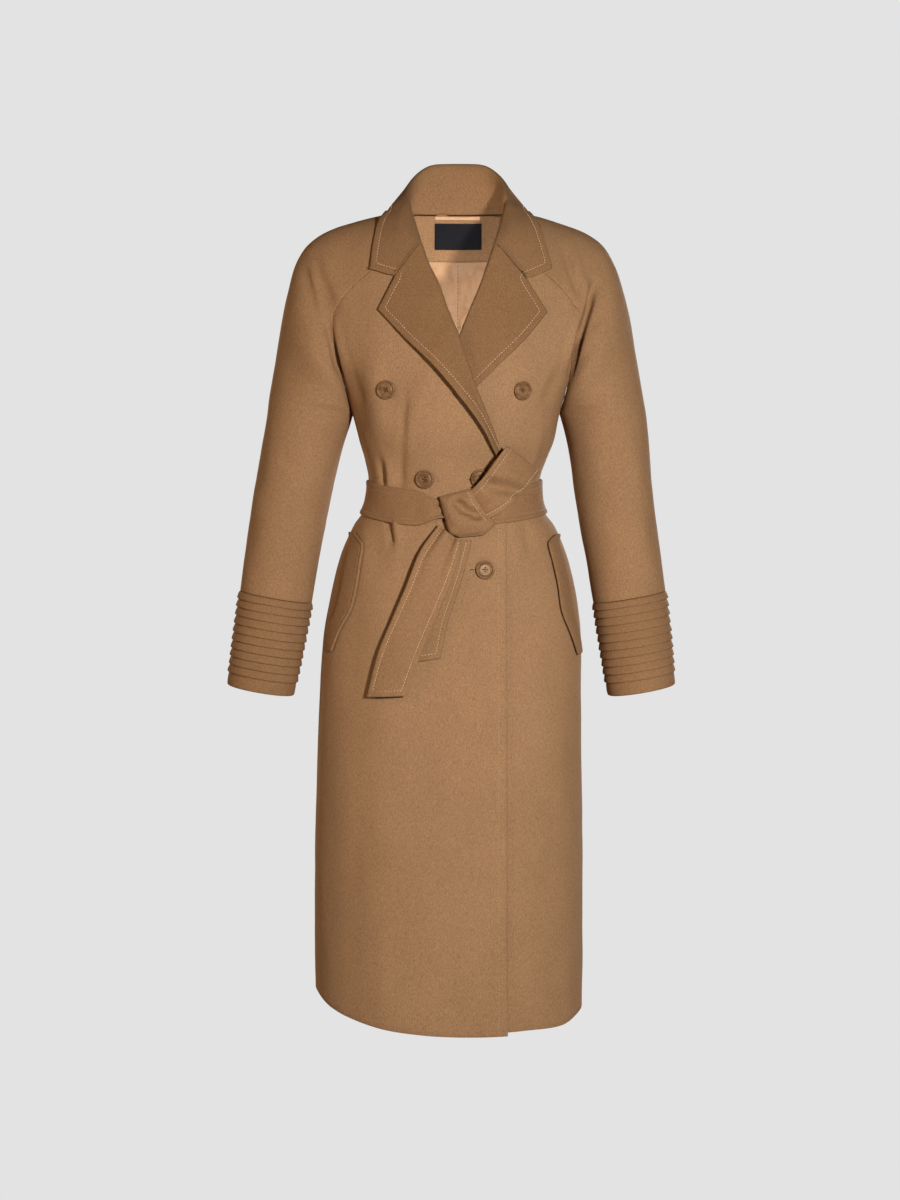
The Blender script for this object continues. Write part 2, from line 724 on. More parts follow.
class Threads:
    """Stitches of one piece: short soft bars of thread."""

    def __init__(self):
        self.points, self.faces = [], []

    def bar(self, start, end, normal, half=THREAD, sides=6):
        """A bar with rounded ends that dip into the cloth."""
        along = unit(end - start)
        across = unit(np.cross(normal, along))
        length = np.linalg.norm(end - start)
        base = len(self.points)
        for share, size, lift in ((0, 0.35, -0.5), (0.12, 0.85, 0.0), (0.5, 1.0, 0.25),
                                  (0.88, 0.85, 0.0), (1, 0.35, -0.5)):
            middle = start + along * length * share + normal * half * lift
            for i in range(sides):
                turn = 2 * math.pi * i / sides
                way = across * math.cos(turn) + normal * math.sin(turn)
                self.points.append(Vector(middle + way * half * size))
        for ring in range(4):
            for i in range(sides):
                a, b = base + ring * sides + i, base + ring * sides + (i + 1) % sides
                self.faces.append((a, b, b + sides, a + sides))
        self.faces.append(tuple(base + i for i in reversed(range(sides))))
        self.faces.append(tuple(base + 4 * sides + i for i in range(sides)))

    def sew(self, sheet, distance, inset, out):
        """Stitches along a sheet at a distance from its edge, on its outer face."""
        for line in contour(sheet, distance, inset):
            if len(line) > 2:
                for start, end, normal in stitch_places(line):
                    lift = normal * (out - GROOVE + THREAD * 0.75)
                    self.bar(start + lift, end + lift, normal)

    def run(self, surface, path, length, gap, half, over=0.0):
        """Stitches along a path of (x, height) places on a surface seen from the front."""
        corners = np.array(path, dtype=float)
        line = []
        for a, b in zip(corners, corners[1:]):
            for share in np.linspace(0, 1, 12):
                x, z = a + (b - a) * share
                line.append((np.array([x, surface.depth(x, z) - over, z]),
                             np.array([0.0, -1.0, 0.0])))
        for start, end, normal in stitch_places(line, length, gap):
            self.bar(start, end, normal, half)




# ---------------------------------------------------------------- pieces of the body

def upper_rows(back):
    """Heights and outer angles of the rows that end on a raglan seam."""
    rows = []
    for station in np.arange(0, STATIONS + STATION_STEP / 2, STATION_STEP):
        row = SHOULDER(station)
        across, height = (row[5], row[6]) if back else (row[3], row[4])
        rows.append((height, ring_angle(across, height)))
    return rows


def lower_rows():
    return [(height, 0.0) for height in LOWER_HEIGHTS]


def front_sheet(side):
    rows = []
    for index, (height, outer) in enumerate(upper_rows(False) + lower_rows()):
        drop = NECKLINE_DROP * max(1 - index * STATION_STEP / 3, 0) ** 2
        inner = ring_angle(own(side, front_limit(side, height - drop), height - drop),
                           height - drop)
        row = []
        for share in FRONT_SHARES:
            row.append(body_point(side, inner + (outer - inner) * share,
                                  height - drop * (1 - share)))
        rows.append(row)
    return Sheet(rows, flip=side == "right")


def back_sheet():
    rows = []
    for height, outer in upper_rows(True) + lower_rows():
        angles = np.linspace(outer, math.pi - outer, BACK_COLUMNS + 1)
        rows.append([body_point("left", angle, height, back=True) for angle in angles])
    return Sheet(rows)


def seam_handle(start, ridge, back, fold):
    """Direction in which the sleeve leaves the raglan seam."""
    flat = unit(np.array([ridge[0] - start[0], 0.0, ridge[2] - start[2]]))
    step = 3.0
    ahead = body_depth(start[0] + flat[0] * step, start[2] + flat[2] * step, back)
    slope = (ahead - start[1]) / step
    along = unit(flat + np.array([0.0, slope, 0.0]))
    deep = np.array([0.0, 1.0 if back else -1.0, 0.0])
    return unit(along * (1 - fold) + deep * fold)


def shoulder_row(station):
    """Open arc of the sleeve from the front raglan seam over the ridge to the back one."""
    rx, ry, rz, front_x, front_z, back_x, back_z, fold = SHOULDER(station)
    ridge = np.array([rx, ry, rz])
    row = []
    for back, x, z in ((False, front_x, front_z), (True, back_x, back_z)):
        deep = 1.0 if back else -1.0
        start = ring_point(ring_angle(x, z), z, back)
        up_reach = ROUND_HANDLE * math.hypot(ridge[0] - start[0], ridge[2] - start[2])
        deep_reach = ROUND_HANDLE * abs(ridge[1] - start[1])
        up_reach += (ARM_BULGE - up_reach) * fold ** 2
        deep_reach += (ARM_BULGE - deep_reach) * fold ** 2
        handle = start + seam_handle(start, ridge, back, fold) * up_reach
        top = ridge + np.array([0.0, deep * deep_reach, 0.0])
        shares = np.linspace(0, 1, SLEEVE_COLUMNS // 2 + 1)
        half = [bezier(start, handle, top, ridge, t) for t in shares]
        row += half[::-1][1:] if back else half
    return row


def arm_row(step):
    """Closed ring of the arm from the underarm seam round the front, the outside and the back."""
    outer_x, outer_z, inner_x, inner_z, middle, half = ARM(step)
    outer = np.array([outer_x, middle, outer_z])
    inner = np.array([inner_x, middle, inner_z])
    shares = np.linspace(0, 1, SLEEVE_COLUMNS // 2 + 1)
    row = []
    for deep in (-1.0, 1.0):
        bulge = np.array([0.0, deep * half * 4 / 3, 0.0])
        arc = [bezier(inner, inner + bulge, outer + bulge, outer, t) for t in shares]
        row += arc[::-1][1:] if deep > 0 else arc
    return row


def placed(side, row, leaning=ARM_LEAN):
    return [np.array([SIDES[side] * p[0] + leaning(p[2])[0], p[1], p[2]]) for p in row]


def sleeve_sheet(side):
    rows = [placed(side, shoulder_row(station), LEAN)
            for station in np.arange(0, STATIONS, STATION_STEP)]
    upper = len(rows)
    rows += [placed(side, arm_row(step))
             for step in np.arange(0, CUFF_STEP + ARM_STEP / 2, ARM_STEP)]
    return Sheet(rows, closed_from=upper, flip=side == "right")


class Body:
    """The sheets of the body and sleeves, and the surfaces that they make."""

    def __init__(self):
        self.fronts = {side: front_sheet(side) for side in SIDES}
        self.sleeves = {side: sleeve_sheet(side) for side in SIDES}
        self.back = back_sheet()
        self.sheets = [self.back, *self.fronts.values(), *self.sleeves.values()]
        share_normals(self.sheets)
        crease(self.sheets, self.fronts, self.sleeves)
        self.all = Surface.of(*self.sheets)
        self.ahead = {side: Surface.of(self.fronts[side], self.sleeves[side]) for side in SIDES}
        self.rings = {side: self.neck_ring(side) for side in SIDES}
        for sheet in self.sheets:
            sheet.part_seams()

    def depth(self, side, x, height):
        """y of a front's outer face, carried on past its inner edge."""
        limit = front_limit(side, height) + SIDES[side] * 0.5
        if (x - limit) * SIDES[side] >= 0:
            return self.ahead[side].depth(x, height)
        ahead = self.ahead[side].depth(limit, height)
        return ahead + plain_depth(side, x, height) - plain_depth(side, limit, height)

    def neck_ring(self, side):
        """Middle of the wall round the neckline, from the back, with the way in to the neck."""
        wide, half = BACK_COLUMNS + 1, SLEEVE_COLUMNS + 1
        middle = BACK_COLUMNS // 2
        columns = range(middle, -1, -1) if side == "left" else range(middle, wide)
        ring = [(self.back, v, v + wide) for v in columns]
        ring += [(self.sleeves[side], v, v + half) for v in range(half - 2, -1, -1)]
        front = len(FRONT_SHARES)
        ring += [(self.fronts[side], v, v + front) for v in range(front - 2, -1, -1)]
        rows = []
        for sheet, v, below in ring:
            point = sheet.points[v] - sheet.normals[v] * (CLOTH / 2)
            rows.append((*point, *(sheet.points[v] - sheet.points[below]).normalized()))
        table = np.array(rows)
        steps = np.linalg.norm(np.diff(table[:, :3], axis=0), axis=1)
        shares = np.concatenate([[0.0], np.cumsum(steps)]) / steps.sum()
        return shares, table

    def neckline(self, side, share):
        """Middle of the wall at the neckline and the way in, at a share of the way round."""
        shares, table = self.rings[side]
        values = [np.interp(share, shares, table[:, i]) for i in range(6)]
        return np.array(values[:3]), unit(np.array(values[3:]))


# ---------------------------------------------------------------- lapels and collar

def roll_profile(radius, start):
    """Start and turn of a roll: distance from its tip and height over the cloth below it."""
    middle = radius + CLOTH / 2
    points = [(middle + start, -CLOTH / 2)]
    for turn in np.linspace(-90, -270, ROLL_TURNS):
        a = math.radians(turn)
        points.append((middle + radius * math.cos(a), -CLOTH / 2 + radius + radius * math.sin(a)))
    return points


def lapel_level(side, down):
    return GORGE_TOP + (BREAK[side] + 2 - GORGE_TOP) * down


def roll_inside(side, height):
    """x and height of the place where the lapel's flat part begins."""
    inset = ROLL[side](height)[0] + CLOTH / 2
    return np.array([EDGE[side](height)[0] + SIDES[side] * inset, height])


def lapel_plan(side, down, across):
    """x and height of a place on the lapel's flat part."""
    inner = roll_inside(side, lapel_level(side, down))
    straight = inner + (LAPEL[side](down) - inner) * across
    corner, notch, tip = roll_inside(side, GORGE_TOP), np.array(NOTCH[side]), LAPEL[side](0)
    if across <= NOTCH_SHARE:
        top = corner + (notch - corner) * across / NOTCH_SHARE
    else:
        top = notch + (tip - notch) * (across - NOTCH_SHARE) / (1 - NOTCH_SHARE)
    bend = top - (corner + (tip - corner) * across)
    return straight + bend * (1 - down) ** 3


def lapel_over(side, height, down, across):
    """Height of the lapel's middle over the front."""
    raised = 2 * ROLL[side](height)[0] - CLOTH / 2
    edge = (CLOTH / 2 + LAPEL_GAP
            + LAPEL_EDGE_LIFT[side] * soft(0, 0.45, down) * soft(1.1, 0.75, down))
    return raised + (edge - raised) * soft(0, 1, across)


def lapel_row(body, side, down):
    height = lapel_level(side, down)
    row = []
    for away, over in roll_profile(ROLL[side](height)[0], ROLL_START - SEAM_GAP):
        x = EDGE[side](height)[0] + SIDES[side] * away
        row.append(np.array([x, body.depth(side, x, height) - over, height]))
    for across in ACROSS[1:]:
        x, z = lapel_plan(side, down, across)
        over = lapel_over(side, height, down, across)
        row.append(np.array([x, body.depth(side, x, z) - over, z]))
    return row


def lapel_sheet(body, side):
    return Sheet([lapel_row(body, side, down) for down in DOWNS], flip=side == "right")


def collar_end_row(body, side):
    """The collar's front end: the roll, the gorge as far as the notch, then its own tip."""
    row = lapel_row(body, side, 0)
    notch, tip = np.array(NOTCH[side]), np.array(COLLAR_TIP[side])
    fall = len(row) - len(ACROSS)
    for index, across in enumerate(ACROSS):
        if across > NOTCH_SHARE:
            x, z = notch + (tip - notch) * (across - NOTCH_SHARE) / (1 - NOTCH_SHARE)
            row[fall + index] = np.array([x, body.depth(side, x, z) - CLOTH / 2 - LAPEL_GAP, z])
    return row


def collar_turned_row(body, side, station):
    """Section from the neck seam over the fold to the free edge, behind the front end."""
    seam, inward = body.neckline(side, station / COLLAR_END)
    values = COLLAR(station)
    top, edge = np.array(values[:3]), np.array(values[3:])
    for point in (top, edge):
        point[0] = SIDES[side] * point[0] + COLLAR_SHIFT
    up = unit(top - seam)
    seam = seam + up * (np.linalg.norm(np.cross(up, inward)) * (CLOTH / 2 + SEAM_GAP) + 0.1)
    around = math.radians(90 - 180 * station / COLLAR_END)
    out = np.array([SIDES[side] * math.cos(around), math.sin(around), 0.0])
    out = unit(out - up * out.dot(up))
    middle = top - up * (COLLAR_ROLL + CLOTH / 2)
    row = [seam]
    for turn in np.linspace(180, 0, ROLL_TURNS):
        a = math.radians(turn)
        row.append(middle + out * COLLAR_ROLL * math.cos(a) + up * COLLAR_ROLL * math.sin(a))
    start = row[-1]
    for across in ACROSS[1:]:
        belly = out * 5.0 * math.sin(math.pi * across)
        row.append(start + (edge - start) * across + belly)
    return row


def collar_row(body, side, station):
    row = collar_turned_row(body, side, min(station, COLLAR_TURN))
    if station > COLLAR_TURN:
        end = collar_end_row(body, side)
        share = soft(COLLAR_TURN, COLLAR_END, station)
        row = [a + (b - a) * share for a, b in zip(row, end)]
        seam = body.neckline(side, station / COLLAR_END)[0] + np.array([0.0, -1.0, 1.5 * CLOTH])
        row[0] = seam + (end[0] - seam) * soft(COLLAR_END - 0.7, COLLAR_END, station)
    fall = len(row) - len(ACROSS)
    gap = LEAF_GAP + (LAPEL_GAP - LEAF_GAP) * soft(COLLAR_END - 0.7, COLLAR_END, station)
    row[fall:] = [body.all.clear(point, CLOTH / 2 + gap) for point in row[fall:]]
    stand = [row[0] + (row[1] - row[0]) * i / STAND_STEPS for i in range(STAND_STEPS)]
    return stand + row[1:]


def collar_sheet(body):
    rows = [collar_row(body, "right", station) for station in COLLAR_STATIONS[::-1]]
    rows += [collar_row(body, "left", station) for station in COLLAR_STATIONS[1:]]
    return Sheet(rows)

# ---------------------------------------------------------------- inside of the neck

def inner_back(x, height, depth):
    """A place inside the back, a distance in from its outer face."""
    across = own("left", x, height)
    point = ring_point(ring_angle(across, height), height, back=True)
    point = point - ring_normal(point, back=True) * depth
    return np.array([point[0] + lean(height), point[1], point[2]])


def inside_sheet(body, left, right, top, bottom, depth, columns, rows):
    grid = [[body.all.inside(inner_back(x, z, depth), depth)
             for x in np.linspace(right, left, columns + 1)]
            for z in np.linspace(top, bottom, rows + 1)]
    return Sheet(grid)

# ---------------------------------------------------------------- belt

def belt_sheet(body):
    front = math.degrees(math.asin(BELT_FRONT_X / TORSO(BELT_ROWS[0][1])[0]))
    rows = [[] for _ in BELT_SHARES]
    for i in range(BELT_STEPS + 1):
        turn = BELT_END_TURN - front + (360 - 2 * BELT_END_TURN) * i / BELT_STEPS
        wrapped = turn % 360
        middle = BELT(wrapped)[0]
        back = 90 < wrapped < 270
        side = "right" if wrapped < 180 else "left"
        angle = math.radians(abs(wrapped - 90) if wrapped < 180 else abs(wrapped - 270))
        for row, share in zip(rows, BELT_SHARES):
            point = body_point(side, angle, middle + BELT_WIDTH * share, back)
            if not back and abs(angle) > 0.5:
                point[1] = min(point[1], body.all.depth(point[0], point[2]))
            point = body.all.clear(point, LAYER_GAP + BELT_CLOTH / 2)
            if not back:
                beside = abs(point[0] - EDGE["right"](point[2])[0])
                point[1] -= BELT_OVER_EDGE * soft(27, 10, beside)
            row.append(point)
    return Sheet(rows, flip=True)


# station along the strip: left x, height; right x, height; height over the front
FRONT_TAIL_ROWS = (
    (0, -18.3, -421.4, 12.6, -446.6, 8.5),
    (1, -43.5, -456.5, 8, -466, 14),
    (2, -62, -502, -1, -492, 15),
    (3, -80.5, -545, -20, -538, 13),
    (4, -99, -590, -42, -590, 12),
    (5, -114, -649, -62.5, -646, 11),
)
BACK_TAIL_ROWS = (
    (0, -16, -440, 25, -442, 2.0),
    (1, -22, -476, 16, -480, 2.0),
    (2, -34, -514, 4.6, -517, 2.0),
    (3, -46, -552, -8, -555, 2.0),
    (4, -52, -580, -13, -580, 2.0),
    (5, -56, -603, -17, -597, 2.0),
)
# share of the loop's length: left x, height; right x, height; height over the front
LOOP_ROWS = (
    (0.0, 20, -380, 40, -418, 11), (0.14, 40, -358, 66, -403, 27),
    (0.3, 54, -339, 88, -384, 31), (0.42, 66, -323, 108, -362, 28),
    (0.5, 70, -318, 116, -351, 20.5), (0.58, 67, -322, 110, -357, 13.3),
    (0.75, 54, -338, 92, -379, 11.6), (1.0, 38, -361, 64, -396, 10.5),
)
# share of the way down the knot: left x, height; right x, height
KNOT_ROWS = (
    (0.0, -18.5, -384, 27.5, -371.5), (0.35, -14.5, -401, 37.5, -393.5),
    (0.65, -9.5, -419, 45.5, -411), (0.85, -5.5, -432, 55, -421.5), (1.0, 8, -438, 42, -435),
)
KNOT_UNDER = 7.0
KNOT_PROUD = 17.0
KNOT_STEPS = 48


def strip_sheet(body, table, steps, shares, crown=1.5):
    """A strip of belt over the front, from a table of its two edges."""
    track = Track(table)
    rows = []
    for i in range(steps + 1):
        left_x, left_z, right_x, right_z, over = track(track.keys[-1] * i / steps)
        row = []
        for share in shares:
            x = left_x + (right_x - left_x) * share
            z = left_z + (right_z - left_z) * share
            bow = crown * math.sin(math.pi * share)
            point = (x, body.depth("right", x, z) - over - bow, z)
            row.append(body.all.clear(point, BELT_CLOTH / 2 + 0.8))
        rows.append(row)
    return Sheet(rows)

# ---------------------------------------------------------------- pockets and buttons

# share down the pocket: x of the lip's free edge from the middle, height
RIGHT_WELT_ROWS = ((0, 131, -434), (0.1, 118.5, -450), (0.3, 122, -475), (0.5, 128, -513),
                   (0.65, 134, -535), (0.83, 150, -566), (1, 161, -594))
LEFT_WELT_ROWS = ((0, 135.5, -437), (0.1, 125.5, -448), (0.3, 131, -473), (0.5, 137.5, -504),
                  (0.65, 142, -537), (0.83, 154, -568), (1, 165, -598))
WELT = {"right": Track(RIGHT_WELT_ROWS), "left": Track(LEFT_WELT_ROWS)}
WELT_WIDTH = 44
WELT_STEPS = 60
WELT_SHARES = sorted({*np.linspace(0, 0.3, 16), *np.linspace(0.3, 1, 22)})
WELT_GAP = 0.5
WELT_LIFT = {"right": 1.0, "left": 3.4}


def welt_sheet(body, side):
    rows = []
    for i in range(WELT_STEPS + 1):
        free_x, height = WELT[side](i / WELT_STEPS)
        across = own(side, SIDES[side] * free_x, height)
        start = ring_angle(across, height)
        half = TORSO(height)[0]
        row = []
        for share in WELT_SHARES:
            angle = start - (WELT_WIDTH / half) * share
            point = body_point(side, abs(angle), height, angle < 0)
            gap = WELT_GAP + WELT_LIFT[side] * (1 - share)
            row.append(body.all.clear(point, CLOTH / 2 + gap))
        rows.append(row)
    return Sheet(rows, flip=side == "right")


# name: x and height of the middle, and the front that carries it
BUTTONS = {
    "button_upper_right": (-87.8, -243.5, "right"),
    "button_upper_left": (91.3, -244.5, "left"),
    "button_waist_right": (-37, -361, "right"),
    "button_waist_left": (35.2, -360, "right"),
    "button_lower_left": (42, -481, "right"),
    "button_lower_right": (-40, -481, "right"),
}
BUTTON_RADIUS = 12.6
BUTTON_SEAT = 0.4

# ---------------------------------------------------------------- knot and cuffs

# soft hollows and ridges of the knot: path of (x, height), half width, depth
KNOT_CREASES = (
    (((-14, -391), (2, -389), (18, -386)), 6, -2.0),
    (((5, -392), (15, -404), (30, -411)), 11, 9.5),
    (((-4, -418), (12, -426), (36, -424)), 8, -2.5),
    (((-15, -396), (-10, -410), (-5, -422)), 5, 1.6),
    (((8, -436), (24, -438), (38, -435)), 4, 3.0),
)
# edge of the wrap that lies on top, its drop and the place of its stitches
WRAP_EDGE = ((24.5, -375), (30, -388), (39, -401), (49, -413))
WRAP_DROP, WRAP_STITCH = 4.5, 6.0


def knot_wall(body):
    """Soft lump of wrapped belt, flat where it lies on the band."""
    track = Track(KNOT_ROWS)
    rows, proud, places = [], [], []
    for i in range(KNOT_STEPS + 1):
        down = i / KNOT_STEPS
        left_x, left_z, right_x, right_z = track(down)
        row = []
        for j in range(KNOT_STEPS + 1):
            across = j / KNOT_STEPS
            x = left_x + (right_x - left_x) * across
            z = left_z + (right_z - left_z) * across
            crown = (math.sin(math.pi * across) * math.sin(math.pi * down)) ** 0.32
            row.append((x, body.depth("right", x, z) - KNOT_UNDER, z))
            proud.append(1.5 + KNOT_PROUD * crown)
            places.append((x, 0.0, z))
        rows.append(row)
    places, proud = np.array(places), np.array(proud)
    firm = np.clip(proud / KNOT_PROUD, 0, 1)
    for path, half, depth in KNOT_CREASES:
        distance, _, _ = path_places(places, path)
        proud -= depth * hump(distance, half) * firm
    distance, side, _ = path_places(places, WRAP_EDGE)
    signed = distance * side
    proud -= WRAP_DROP * firm * np.clip(signed / 2.0 + 0.5, 0, 1) * np.clip(1.4 - signed / 22, 0, 1)
    proud -= 0.9 * firm * np.exp(-((signed + WRAP_STITCH) / 1.2) ** 2)
    return Sheet(rows).wall(proud, 0.0, 0.4)


# share of a tuck's height: how proud it stands
TUCK_ROWS = ((0, 0.5), (0.15, 1.3), (0.35, 2.1), (0.6, 2.8), (0.8, 3.3), (0.9, 3.2), (0.955, 2.7),
             (0.965, 1.4), (1.0, 0.5))
CUFF_INSIDE_STEPS = 24


def cuff_levels():
    """Steps down the cuff and how proud each one stands: ten tucks and a plain end."""
    pitch = (ARM_END - CUFF_STEP) * TUCK_SHARE / TUCKS
    levels = [(CUFF_STEP, 0.0), (CUFF_STEP + 0.004, 0.35)]
    for tuck in range(TUCKS):
        for share, proud in TUCK_ROWS[1:]:
            levels.append((CUFF_STEP + (tuck + share) * pitch, proud))
    plain = CUFF_STEP + TUCKS * pitch
    for share, proud in ((0.15, 1.1), (0.4, 1.5), (0.7, 1.6), (0.9, 1.4), (0.97, 0.9), (1, 0.2)):
        levels.append((plain + (ARM_END - plain) * share, proud))
    return levels


def cuff_wall(side):
    levels = cuff_levels()
    rows = [placed(side, arm_row(step)) for step, _ in levels]
    smooth = Sheet([placed(side, arm_row(CUFF_STEP + (ARM_END - CUFF_STEP) * i / CUFF_INSIDE_STEPS))
                    for i in range(CUFF_INSIDE_STEPS + 1)], closed_from=0, flip=side == "right")
    tree = BVHTree.FromPolygons(smooth.points, smooth.faces)
    outer = []
    for (step, proud), row in zip(levels, rows):
        for point in row[:-1]:
            place = Vector(point)
            _, normal, _, _ = tree.find_nearest(place)
            wave = 0.5 * noise.noise(place / 14) + 0.25 * noise.noise(place / 5)
            outer.append(place + normal * (proud * (1 + 0.35 * wave) if proud > 1 else proud))
    inner = [p - n * CLOTH for p, n in zip(smooth.points, smooth.normals)]
    gap = Vector((0, 0, -SEAM_GAP / 2))
    count, ring = len(outer), SLEEVE_COLUMNS
    outer[:ring] = [p + gap for p in outer[:ring]]
    faces = []
    for i in range(len(levels) - 1):
        for j in range(ring):
            k = (j + 1) % ring
            faces.append((i * ring + j, (i + 1) * ring + j, (i + 1) * ring + k, i * ring + k))
    for i in range(CUFF_INSIDE_STEPS):
        for j in range(ring):
            k = (j + 1) % ring
            a = count + i * ring
            faces.append((a + k, a + ring + k, a + ring + j, a + j))
    last_outer, last_inner = count - ring, count + len(inner) - ring
    for j in range(ring):
        k = (j + 1) % ring
        faces.append((j, k, count + k, count + j))
        faces.append((last_outer + k, last_outer + j, last_inner + j, last_inner + k))
    if side == "right":
        faces = [tuple(reversed(face)) for face in faces]
    return outer + inner, faces


# ---------------------------------------------------------------- materials

class Nodes:
    """Short way to write a material's nodes."""

    def __init__(self, name):
        self.made = bpy.data.materials.new(name)
        self.made.use_nodes = True
        self.tree = self.made.node_tree
        self.shader = self.tree.nodes["Principled BSDF"]

    def node(self, kind, **values):
        made = self.tree.nodes.new(kind)
        for key, value in values.items():
            setattr(made, key, value)
        return made

    def join(self, source, node, name):
        self.tree.links.new(source, node.inputs[name])

    def place(self, scale=(1, 1, 1)):
        """Coordinates in metres, stretched by a scale."""
        spot = self.node("ShaderNodeTexCoord")
        stretch = self.node("ShaderNodeMapping")
        stretch.inputs["Scale"].default_value = scale
        self.join(spot.outputs["Object"], stretch, "Vector")
        return stretch.outputs["Vector"]

    def noise(self, scale, stretch=(1, 1, 1), detail=3.0, rough=0.55):
        made = self.node("ShaderNodeTexNoise")
        made.inputs["Scale"].default_value = scale
        made.inputs["Detail"].default_value = detail
        made.inputs["Roughness"].default_value = rough
        self.join(self.place(stretch), made, "Vector")
        return made.outputs["Fac"]

    def ramp(self, source, stops):
        made = self.node("ShaderNodeValToRGB")
        points = made.color_ramp.elements
        while len(points) < len(stops):
            points.new(0.5)
        for point, (at, colour) in zip(points, stops):
            point.position = at
            point.color = colour
        self.join(source, made, "Fac")
        return made.outputs["Color"]

    def mix(self, kind, amount, first, second):
        made = self.node("ShaderNodeMix", data_type="RGBA", blend_type=kind)
        made.inputs["Factor"].default_value = amount
        self.tree.links.new(first, made.inputs[6])
        self.tree.links.new(second, made.inputs[7])
        return made.outputs[2]

    def bump(self, source, strength, distance, below=None):
        made = self.node("ShaderNodeBump")
        made.inputs["Strength"].default_value = strength
        made.inputs["Distance"].default_value = distance
        self.join(source, made, "Height")
        if below is not None:
            self.join(below, made, "Normal")
        return made.outputs["Normal"]

    def finish(self, **values):
        for name, value in values.items():
            self.shader.inputs[name.replace("_", " ")].default_value = value
        return self.made


def grey(value):
    return (value, value, value, 1)


def wool(name, shade):
    """Brushed wool: short vertical nap, slightly marled, with a soft sheen."""
    m = Nodes("camel_wool_" + name)
    deeper = (1.0, 1.2, 1.45)
    low, high = [(*(c * shade ** d for c, d in zip(colour, deeper)), 1) for colour in CAMEL]
    nap = m.noise(720, (1, 1, 0.5), 4.0, 0.6)
    marl = m.noise(1500, (1, 1, 0.7), 3.0, 0.6)
    cloud = m.noise(22, (1, 1, 0.6), 1.0, 0.5)
    colour = m.ramp(nap, ((0.2, low), (0.8, high)))
    fleck = m.ramp(marl, ((0.3, (0.72, 0.64, 0.54, 1)), (0.7, grey(1.2))))
    colour = m.mix("MULTIPLY", 0.7, colour, fleck)
    colour = m.mix("MULTIPLY", 0.4, colour, m.ramp(cloud, ((0.3, grey(0.9)), (0.7, grey(1.08)))))
    m.join(colour, m.shader, "Base Color")
    relief = m.bump(marl, 0.25, 0.0006)
    m.join(m.bump(nap, 0.3, 0.001, relief), m.shader, "Normal")
    m.join(m.ramp(nap, ((0.3, grey(0.95)), (0.7, grey(0.8)))), m.shader, "Roughness")
    return m.finish(Sheen_Weight=0.04, Sheen_Roughness=0.5, Sheen_Tint=(1.0, 0.7, 0.42, 1),
                    Specular_IOR_Level=0.1)


# low and high tone of the wool, and how dark its nap looks on each piece
CAMEL = ((0.215, 0.110, 0.047), (0.400, 0.238, 0.128))
SHADES = {"body": 1.03, "sleeve": 0.96, "cuff": 0.84, "turned": 0.72, "collar": 0.78, "belt": 0.84,
          "strip": 0.92, "knot": 0.92, "welt": 0.85, "inside": 0.95}


def lining_cloth(name, shade):
    m = Nodes(name)
    low, high = [(*(c * shade for c in colour), 1) for colour in TWILL]
    weave = m.noise(1100, (1, 1, 0.4), 3.0, 0.6)
    cloud = m.noise(30, (1, 1, 0.6), 2.0, 0.5)
    colour = m.ramp(weave, ((0.3, low), (0.7, high)))
    colour = m.mix("MULTIPLY", 0.4, colour, m.ramp(cloud, ((0.3, grey(0.85)), (0.7, grey(1.1)))))
    m.join(colour, m.shader, "Base Color")
    m.join(m.bump(weave, 0.2, 0.0004), m.shader, "Normal")
    m.join(m.ramp(cloud, ((0.3, grey(0.5)), (0.7, grey(0.62)))), m.shader, "Roughness")
    return m.finish(Sheen_Weight=0.2, Sheen_Roughness=0.4, Specular_IOR_Level=0.35)


TWILL = ((0.37, 0.195, 0.090), (0.46, 0.255, 0.125))


def label_cloth():
    m = Nodes("woven_label")
    weave = m.noise(2600, (0.5, 1, 1.4), 2.0, 0.6)
    m.join(m.ramp(weave, ((0.3, (0.003, 0.003, 0.005, 1)), (0.7, (0.012, 0.012, 0.015, 1)))),
           m.shader, "Base Color")
    m.join(m.bump(weave, 0.3, 0.0003), m.shader, "Normal")
    return m.finish(Roughness=0.75, Specular_IOR_Level=0.12)


def horn_disc():
    """Brown horn: clouded bands under a polished face."""
    m = Nodes("horn_button")
    bands = m.noise(95, (1.0, 1, 2.2), 4.0, 0.6)
    flecks = m.noise(900, (1, 1, 1), 2.0, 0.5)
    colour = m.ramp(bands, ((0.3, (0.12, 0.056, 0.023, 1)), (0.5, (0.18, 0.090, 0.039, 1)),
                            (0.7, (0.25, 0.134, 0.063, 1))))
    colour = m.mix("MULTIPLY", 0.3, colour, m.ramp(flecks, ((0.3, grey(0.7)), (0.7, grey(1.2)))))
    m.join(colour, m.shader, "Base Color")
    m.join(m.ramp(bands, ((0.3, grey(0.34)), (0.7, grey(0.46)))), m.shader, "Roughness")
    m.join(m.bump(flecks, 0.08, 0.0002), m.shader, "Normal")
    return m.finish(Specular_IOR_Level=0.3, Specular_Tint=(1.0, 0.75, 0.5, 1))


def thread_yarn(name, low, high):
    m = Nodes(name)
    twist = m.noise(2400, (1, 1, 1), 2.0, 0.5)
    m.join(m.ramp(twist, ((0.3, low), (0.7, high))), m.shader, "Base Color")
    m.join(m.bump(twist, 0.3, 0.0002), m.shader, "Normal")
    return m.finish(Roughness=0.7, Sheen_Weight=0.2, Specular_IOR_Level=0.25)


